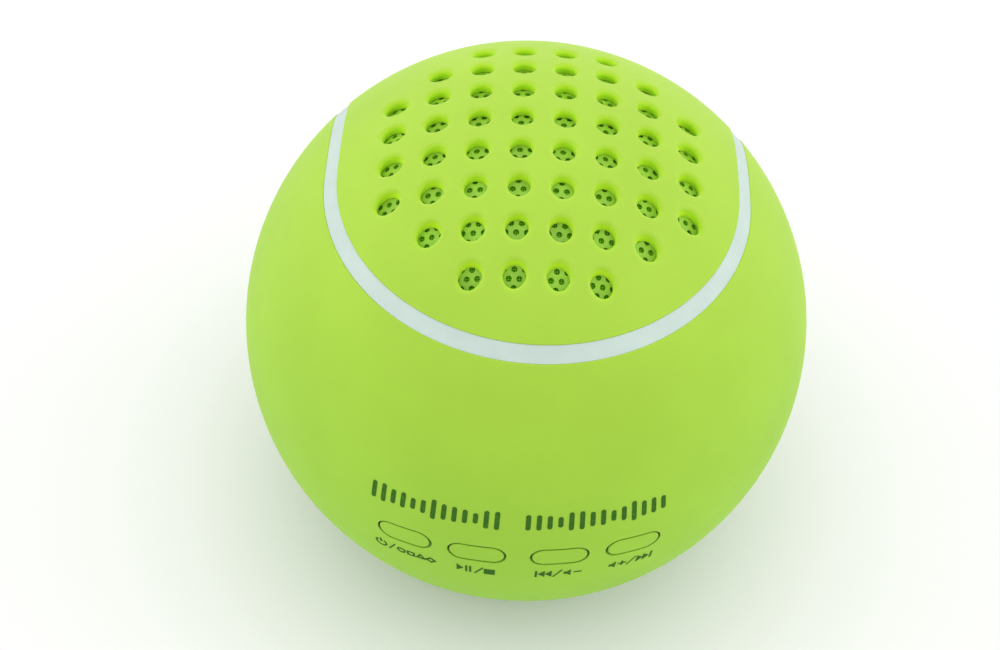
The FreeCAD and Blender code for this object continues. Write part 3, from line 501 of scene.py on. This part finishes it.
def bar(u, v, width, height, lean=0.0):
    """Outline of an upright bar with round ends; lean is how far its top is off its foot."""
    r = width / 2
    steps = 8
    points = []
    for side, start in ((1, 0.0), (-1, math.pi)):
        for k in range(steps + 1):
            angle = start + math.pi * k / steps
            top = side * (height / 2 - r)
            points.append((u + lean * side / 2 + r * math.cos(angle), v + top + r * math.sin(angle)))
    return points


def polygon(u, points):
    """Outline at u, with its points in millimetres."""
    return [(u * MM + x * MM, y * MM) for x, y in points]


def ring_arc(u, v, radius, width, start, end):
    """Outline of part of a ring, from start to end in degrees."""
    steps = 28
    angles = [math.radians(start + (end - start) * k / steps) for k in range(steps + 1)]

    def arc(r):
        return [(u + r * math.cos(a), v + r * math.sin(a)) for a in angles]

    return arc(radius + width / 2) + arc(radius - width / 2)[::-1]


# ---------------------------------------------------------------- printed signs
# Every u is a place in millimetres along the label, from its middle

def slash(u):
    return bar(u * MM, 0, width=0.26 * MM, height=2.0 * MM, lean=1.0 * MM)


def arrow(u, direction):
    """Filled triangle pointing right (+1) or left (-1)."""
    tail, tip = -direction * ARROW_W / 2, direction * ARROW_W / 2
    return polygon(u, [(tail, ARROW_HALF_H), (tip, 0), (tail, -ARROW_HALF_H)])


def block(u, width, height):
    x, y = width / 2, height / 2
    return polygon(u, [(-x, -y), (x, -y), (x, y), (-x, y)])


def hollow(u, corners, radius, turn):
    """Outer and inner outline of a regular shape, which prints as a line; turn is in degrees."""
    angles = [math.radians(turn + 360 * k / corners) for k in range(corners)]
    inner = radius - STROKE / math.cos(math.pi / corners)
    return [polygon(u, [(r * math.cos(a), r * math.sin(a)) for a in angles]) for r in (radius, inner)]


def power_sign(u):
    """Ring, open at its top, with an upright stroke in the opening."""
    return [ring_arc(u * MM, -0.08 * MM, radius=0.78 * MM, width=STROKE * MM, start=125, end=415),
            bar(u * MM, 0.55 * MM, width=STROKE * MM, height=1.0 * MM)]


def mode_sign(u):
    """Four plain shapes in a row: the mode key steps through its sources."""
    pitch = 1.45
    shapes = ((24, 0.68, 0), (4, 0.86, 45), (3, 0.95, 90), (4, 0.82, 0))
    return [outline for k, shape in enumerate(shapes) for outline in hollow(u + k * pitch, *shape)]


def sound_sign(u):
    """Small loudspeaker, seen from the side."""
    lower = [(-0.6, -0.3), (-0.2, -0.3), (0.35, -0.85)]
    return polygon(u, lower + [(x, -y) for x, y in reversed(lower)])


def plus_sign(u):
    arm, half = 0.6, STROKE / 2
    quarter = [(arm, -half), (arm, half), (half, half)]
    turns = ((1, 0), (0, 1), (-1, 0), (0, -1))
    return polygon(u, [(c * x - s * y, s * x + c * y) for c, s in turns for x, y in quarter])


def sign_outlines():
    """Every sign's outlines: the mode, play, previous and next key's."""
    return (
        power_sign(-3.7) + [slash(-2.0)] + mode_sign(-0.6),
        [arrow(-2.15, 1), block(-1.3, STROKE, TALL), block(-0.75, STROKE, TALL), slash(0.4),
         block(1.85, 1.5, 1.5)],
        [block(-3.05, STROKE, TALL), arrow(-2.35, -1), arrow(-1.4, -1), slash(-0.15),
         sound_sign(1.3), block(2.6, 1.1, STROKE)],
        [sound_sign(-2.8), plus_sign(-1.5), slash(-0.15), arrow(1.1, 1), arrow(2.05, 1),
         block(2.8, STROKE, TALL)],
    )


def straight_place(lon, lat, tilt):
    """Lays a flat drawing on the ball, its middle at (lon, lat) in radians."""
    turn = math.radians(tilt)

    def place(x, y):
        u = x * math.cos(turn) - y * math.sin(turn)
        v = x * math.sin(turn) + y * math.cos(turn)
        return lon + u / (BALL_R * math.cos(lat)), lat + v / BALL_R

    return place


def build_signs():
    for name, outlines, shift, tilt in zip(KEY_NAMES, sign_outlines(), LABEL_SHIFT, LABEL_TILT):
        middle = sum((Vector(corner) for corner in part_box(f"{name}_key")), Vector()) / 2 - CENTRE
        lon = math.asin(middle.x / BALL_R) + math.radians(shift)
        lat = math.asin((middle.z - LABEL_DROP) / BALL_R)
        printed(f"{name}_sign", outlines, straight_place(lon, lat, tilt))


def arched_place(lon):
    """Lays a row of bars on the ball along the motif's arch, its middle at this longitude."""
    start, summit = math.radians(lon), math.radians(MOTIF_SUMMIT)
    across = BALL_R * math.cos(MOTIF_RISE / BALL_R)

    def place(x, y):
        here = start + x / across
        height = MOTIF_RISE - MOTIF_FALL * (here - summit) ** 2
        return here, math.asin(height / BALL_R) + y / BALL_R

    return place


def build_motif():
    """Two rows of upright bars, like a sound level display; two added waves set their heights."""
    for name, lon, bars, phase in MOTIF_ROWS:
        outlines = []
        for k in range(bars):
            swing = 0.55 + 0.25 * math.sin(1.15 * k + phase) + 0.20 * math.sin(2.3 * k + 2 * phase)
            height = MOTIF_BASE + MOTIF_SWING * swing
            outlines.append(bar((k - (bars - 1) / 2) * MOTIF_PITCH, 0, MOTIF_BAR_W, height))
        printed(f"level_bars_{name}", outlines, arched_place(lon))


# ---------------------------------------------------------------- perforated plate

def perforated_cell(u, v):
    """Flat ring of points round a small hole, in turn on the hole and on its hexagonal cell."""
    apothem = PERF_PITCH / 2
    points = []
    for k in range(PERF_SIDES):
        angle = math.tau * k / PERF_SIDES
        edge = apothem if k % 2 == 0 else apothem / math.cos(math.pi / 6)
        points += [(u + r * math.cos(angle), v + r * math.sin(angle), 0) for r in (PERF_R, edge)]
    return points


def build_plate():
    """Domed plate with a hexagonal field of round holes, drawn flat and then bent to the dome.

    Each cell is a ring of quads round its hole, and cells that would pass the edge are left out."""
    reach = PLATE_R * math.asin(PLATE_EDGE / PLATE_R)
    row = PERF_PITCH * math.sqrt(3) / 2
    rows, columns = math.ceil(reach / row), math.ceil(reach / PERF_PITCH) + 1
    verts, faces = [], []
    for j in range(-rows, rows + 1):
        for i in range(-columns, columns + 1):
            u = (i + 0.5 * (j % 2)) * PERF_PITCH + PERF_SHIFT[0]
            v = j * row + PERF_SHIFT[1]
            if math.hypot(u, v) > reach - 0.6 * PERF_PITCH:
                continue
            first = len(verts)
            verts += perforated_cell(u, v)
            for k in range(PERF_SIDES):
                a, b = first + 2 * k, first + 2 * ((k + 1) % PERF_SIDES)
                faces.append((a, a + 1, b + 1, b))
    mesh = bpy.data.meshes.new("perforated_plate")
    mesh.from_pydata(verts, [], faces)
    bm = bmesh.new()
    bm.from_mesh(mesh)
    bmesh.ops.remove_doubles(bm, verts=bm.verts, dist=PERF_PITCH * 0.01)
    for vert in bm.verts:
        flat = math.hypot(vert.co.x, vert.co.y)
        polar = flat / PLATE_R
        scale = math.sin(polar) * PLATE_R / flat if flat > 0 else 1.0
        vert.co = CENTRE + Vector((vert.co.x * scale, vert.co.y * scale, PLATE_R * math.cos(polar)))
    bmesh.ops.recalc_face_normals(bm, faces=bm.faces)
    if bm.faces[0].normal.z < 0:
        bmesh.ops.reverse_faces(bm, faces=bm.faces)
    bm.to_mesh(mesh)
    bm.free()
    plate = new_sheet("perforated_plate", mesh, MATERIALS["grille_metal"], PLATE_T)
    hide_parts("perforated_grille")


# ---------------------------------------------------------------- stage, light and camera

def build_stage():
    bpy.ops.mesh.primitive_grid_add(x_subdivisions=4, y_subdivisions=4, size=FLOOR_SIZE)
    floor = bpy.context.object
    floor.name = "floor"
    s = Surface("pale_floor", (0.8, 0.8, 0.8), 0.8, Specular_IOR_Level=0.1)
    s.paint(s.colours(s.noise(3, 3), (0.3, (0.795, 0.795, 0.795)), (0.7, (0.805, 0.805, 0.805))))
    floor.data.materials.append(s.material)


def soft_light(name, place, size, power):
    light = bpy.data.lights.new(name, "AREA")
    light.shape = "DISK"
    light.size = size
    light.energy = power
    lamp = bpy.data.objects.new(name, light)
    lamp.location = place
    lamp.rotation_euler = (CENTRE - Vector(place)).to_track_quat("-Z", "Y").to_euler()
    bpy.context.scene.collection.objects.link(lamp)


def build_light():
    world = bpy.data.worlds.new("studio")
    bpy.context.scene.world = world
    world.use_nodes = True
    background = world.node_tree.nodes["Background"]
    background.inputs["Color"].default_value = (1, 1, 1, 1)
    background.inputs["Strength"].default_value = WORLD_LIGHT
    for name, settings in LIGHTS.items():
        soft_light(name, *settings)


def build_camera():
    elevation, azimuth, roll = (math.radians(a) for a in (VIEW_ELEVATION, VIEW_AZIMUTH, VIEW_ROLL))
    back = Vector((math.sin(azimuth) * math.cos(elevation), -math.cos(azimuth) * math.cos(elevation),
                   math.sin(elevation)))
    level = Vector((math.cos(azimuth), math.sin(azimuth), 0))
    upright = back.cross(level)
    right = level * math.cos(roll) + upright * math.sin(roll)
    up = upright * math.cos(roll) - level * math.sin(roll)
    data = bpy.data.cameras.new("camera")
    data.sensor_width = SENSOR
    data.lens = BALL_SHARE * math.sqrt(VIEW_DISTANCE ** 2 - 1) * SENSOR
    data.shift_x, data.shift_y = SHIFT
    data.clip_start = 0.01
    camera = bpy.data.objects.new("camera", data)
    axes = Matrix((right, up, back)).transposed().to_4x4()
    camera.matrix_world = Matrix.Translation(CENTRE + back * VIEW_DISTANCE * BALL_R) @ axes
    bpy.context.scene.collection.objects.link(camera)
    bpy.context.scene.camera = camera


finish_cad_nodes()
build_plate()
build_signs()
build_motif()
build_stage()
build_light()
build_camera()
bpy.context.scene.view_settings.view_transform = "Standard"
